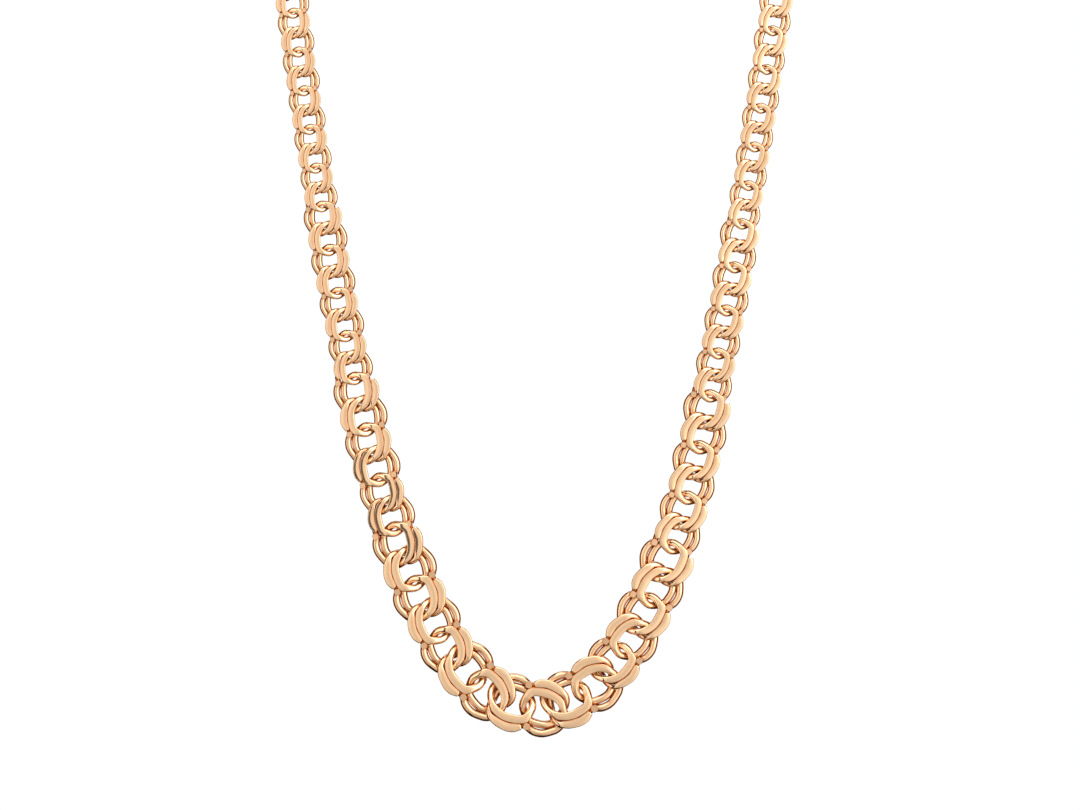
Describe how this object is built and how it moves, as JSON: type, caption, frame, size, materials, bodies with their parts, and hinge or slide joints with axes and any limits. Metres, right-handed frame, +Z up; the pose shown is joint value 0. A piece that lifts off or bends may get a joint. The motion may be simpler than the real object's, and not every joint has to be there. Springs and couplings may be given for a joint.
{
  "type": "graduated double-link neck chain",
  "caption": "Graduated neck chain of soldered pairs of coiled round-wire links, filed flat, wider toward the front, hung as worn with a plain clasp at the nape.",
  "frame": {"origin": "middle of the clasp at the nape, where the chain rests on the neck", "axes": "+Z up, -Y toward the chain's front, +X to the right as the front is looked at"},
  "size_m": [0.1084, 0.0589, 0.1757],
  "materials": {
    "links_left": "polished rose gold, filed flats",
    "links_right": "polished rose gold, filed flats",
    "clasp": "polished rose gold"
  },
  "bodies": {
    "root": {"links_left": "links_left", "links_right": "links_right", "clasp": "clasp"}
  },
  "joints": []
}
